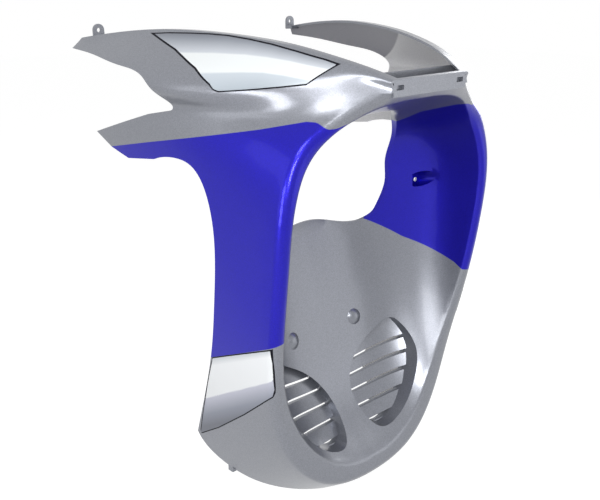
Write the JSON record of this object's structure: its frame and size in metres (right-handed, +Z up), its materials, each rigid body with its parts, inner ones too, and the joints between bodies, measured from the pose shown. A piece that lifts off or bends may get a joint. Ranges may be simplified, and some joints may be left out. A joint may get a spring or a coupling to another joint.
{
  "type": "motorcycle leg shield fairing",
  "caption": "Moulded leg shield fairing for a small motorcycle: swept side wings, a rounded bowl behind the front wheel with an engine opening, louvred vents and screw pockets.",
  "frame": {"origin": "midway between the two pocket screws, on the plane of their seats", "axes": "+X to the rider's left, +Y to the rear of the motorcycle, +Z up"},
  "size_m": [0.408, 0.415, 0.573],
  "materials": {
    "painted_plastic": "silver and blue metallic paint with decal panels on moulded plastic, bare grey plastic inside"
  },
  "bodies": {
    "root": {"leg_shield": "painted_plastic"}
  },
  "joints": []
}
